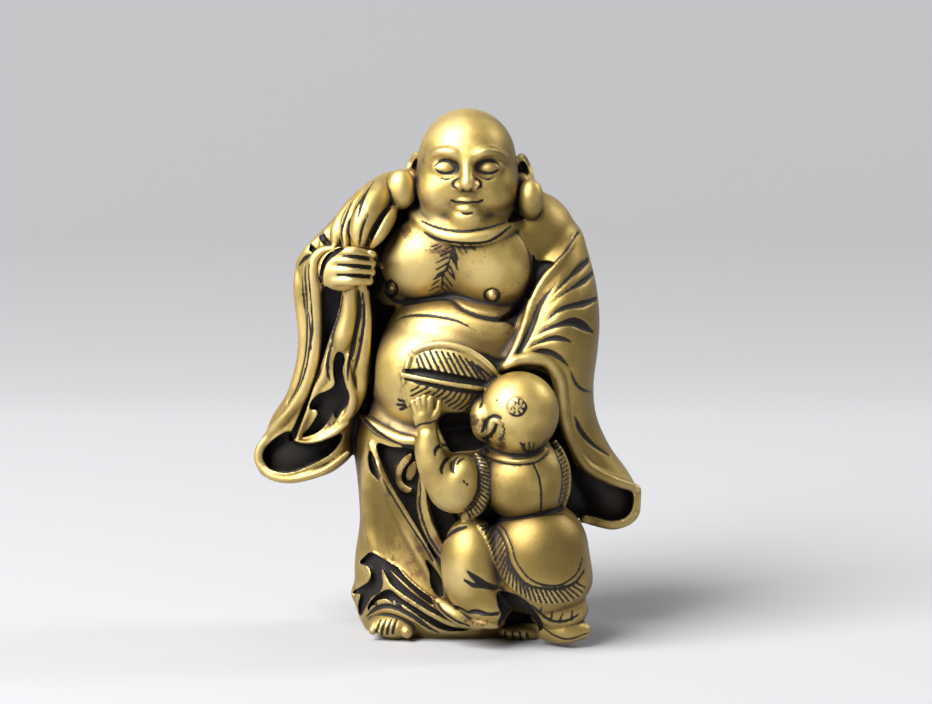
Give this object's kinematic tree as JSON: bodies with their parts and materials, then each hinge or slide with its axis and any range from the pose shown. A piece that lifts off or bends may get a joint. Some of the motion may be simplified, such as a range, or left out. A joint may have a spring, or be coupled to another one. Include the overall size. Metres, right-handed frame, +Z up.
{
  "type": "figurine",
  "caption": "Standing stout monk with a sack over his shoulder and a leaf fan, and a child who reaches up for the fan, cast in a single piece on a flat underside.",
  "frame": {"origin": "on the flat underside, under the middle of the figure's bounding box", "axes": "+Z up, -Y the way the figures face the viewer, +X to the viewer's right"},
  "size_m": [0.0718, 0.0468, 0.099],
  "materials": {
    "brass": "satin cast brass, lacquered, with a near-black patina left in the recesses"
  },
  "bodies": {
    "root": {"monk_with_child": "brass"}
  },
  "joints": []
}
